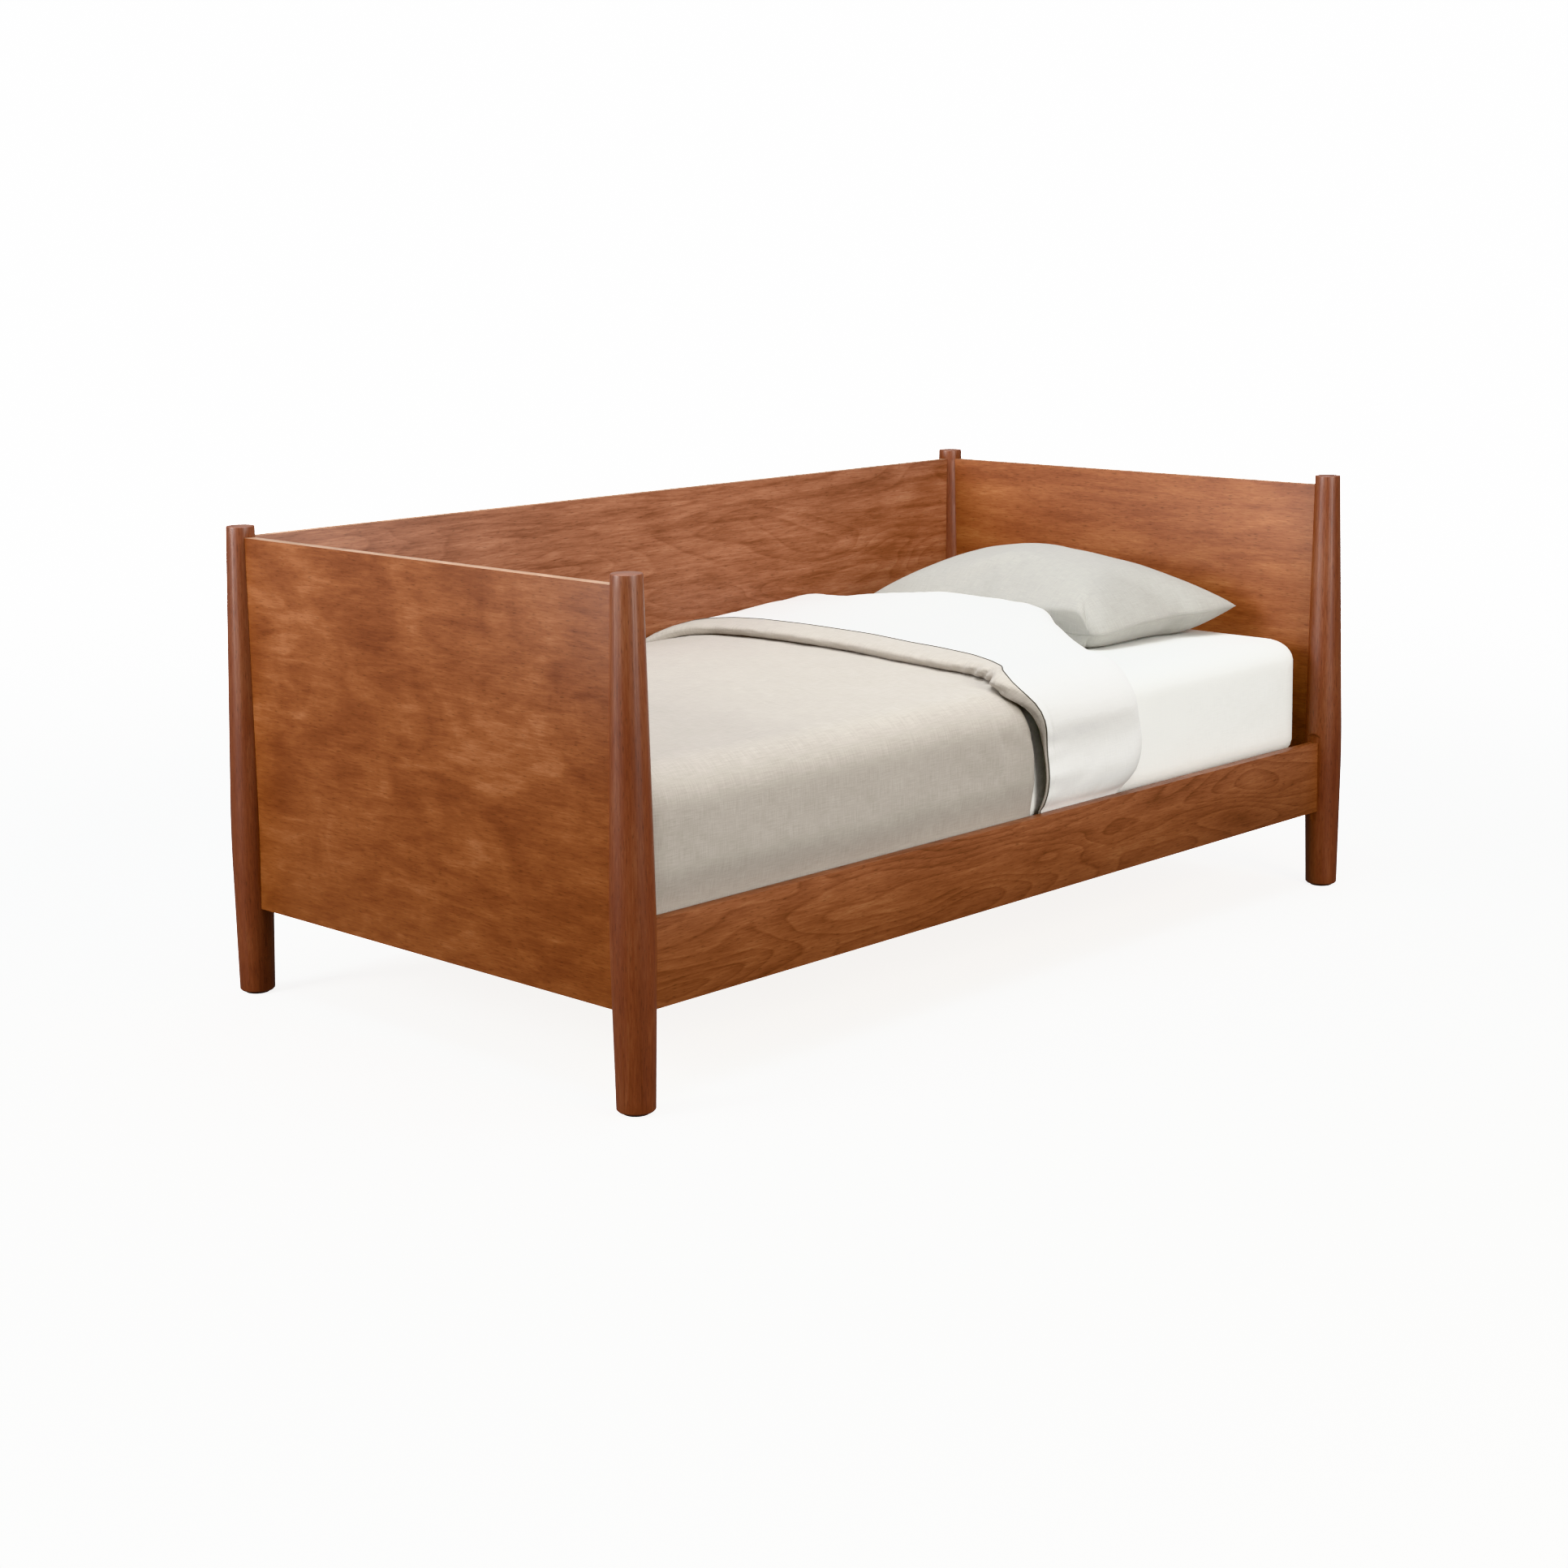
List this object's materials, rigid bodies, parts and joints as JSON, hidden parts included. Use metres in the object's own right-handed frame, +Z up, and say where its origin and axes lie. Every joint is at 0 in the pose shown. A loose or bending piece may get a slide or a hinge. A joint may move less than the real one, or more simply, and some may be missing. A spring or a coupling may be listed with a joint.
{
  "type": "daybed",
  "caption": "Twin daybed with round tapered posts, flat foot, head and back panels, a low front rail, a slatted base, a mattress and turned-back bedding.",
  "frame": {"origin": "on the floor, at the middle of the bed's length and width", "axes": "+X along the length towards the head end, -Y towards the open front, +Z up"},
  "size_m": [2.0498, 1.0958, 0.864],
  "materials": {
    "stained_post_wood": "satin lacquer over brown stain",
    "stained_veneer": "satin lacquer over stained veneer",
    "stained_rail_wood": "satin lacquer over stained veneer",
    "pine": "planed, unfinished",
    "dowel_beech": "fluted, unfinished",
    "black_plastic": "moulded",
    "zinc_screw": "zinc plated",
    "zinc_bolt": "zinc plated",
    "mattress_ticking": "woven ticking",
    "white_sheet": "plain cotton weave",
    "duvet_linen": "linen weave",
    "pillow_linen": "linen weave"
  },
  "bodies": {
    "bed_frame": {"post_foot_front": "stained_post_wood", "post_foot_back": "stained_post_wood", "post_head_front": "stained_post_wood", "post_head_back": "stained_post_wood", "foot_panel": "stained_veneer", "head_panel": "stained_veneer", "back_panel": "stained_veneer", "front_rail": "stained_rail_wood", "front_ledger": "pine", "back_ledger": "pine", "slat_01": "pine", "slat_02": "pine", "slat_03": "pine", "slat_04": "pine", "slat_05": "pine", "slat_06": "pine", "slat_07": "pine", "slat_08": "pine", "slat_09": "pine", "slat_10": "pine", "slat_11": "pine", "slat_12": "pine", "slat_13": "pine", "rail_inserts": "zinc_screw", "rail_studs": "zinc_bolt", "rail_washers": "zinc_bolt", "rail_nuts": "zinc_bolt", "back_inserts": "zinc_screw", "back_studs": "zinc_bolt", "back_washers": "zinc_bolt", "back_nuts": "zinc_bolt", "foot_panel_dowels": "dowel_beech", "head_panel_dowels": "dowel_beech", "front_ledger_screws": "zinc_screw", "back_ledger_screws": "zinc_screw", "slat_screws": "zinc_screw", "glide_foot_front": "black_plastic", "glide_foot_back": "black_plastic", "glide_head_front": "black_plastic", "glide_head_back": "black_plastic"},
    "mattress_set": {"mattress": "mattress_ticking", "fitted_sheet": "white_sheet"},
    "duvet": {"duvet": "duvet_linen"},
    "pillow": {"pillow": "pillow_linen"}
  },
  "joints": [
    {"name": "mattress_lift", "type": "slide", "parent": "bed_frame", "child": "mattress_set", "axis": [0, 0, 1], "range_m": [0, 0.62]},
    {"name": "duvet_lift", "type": "slide", "parent": "mattress_set", "child": "duvet", "axis": [0, 0, 1], "range_m": [0, 0.5]},
    {"name": "pillow_lift", "type": "slide", "parent": "mattress_set", "child": "pillow", "axis": [0, 0, 1], "range_m": [0, 0.35]}
  ]
}
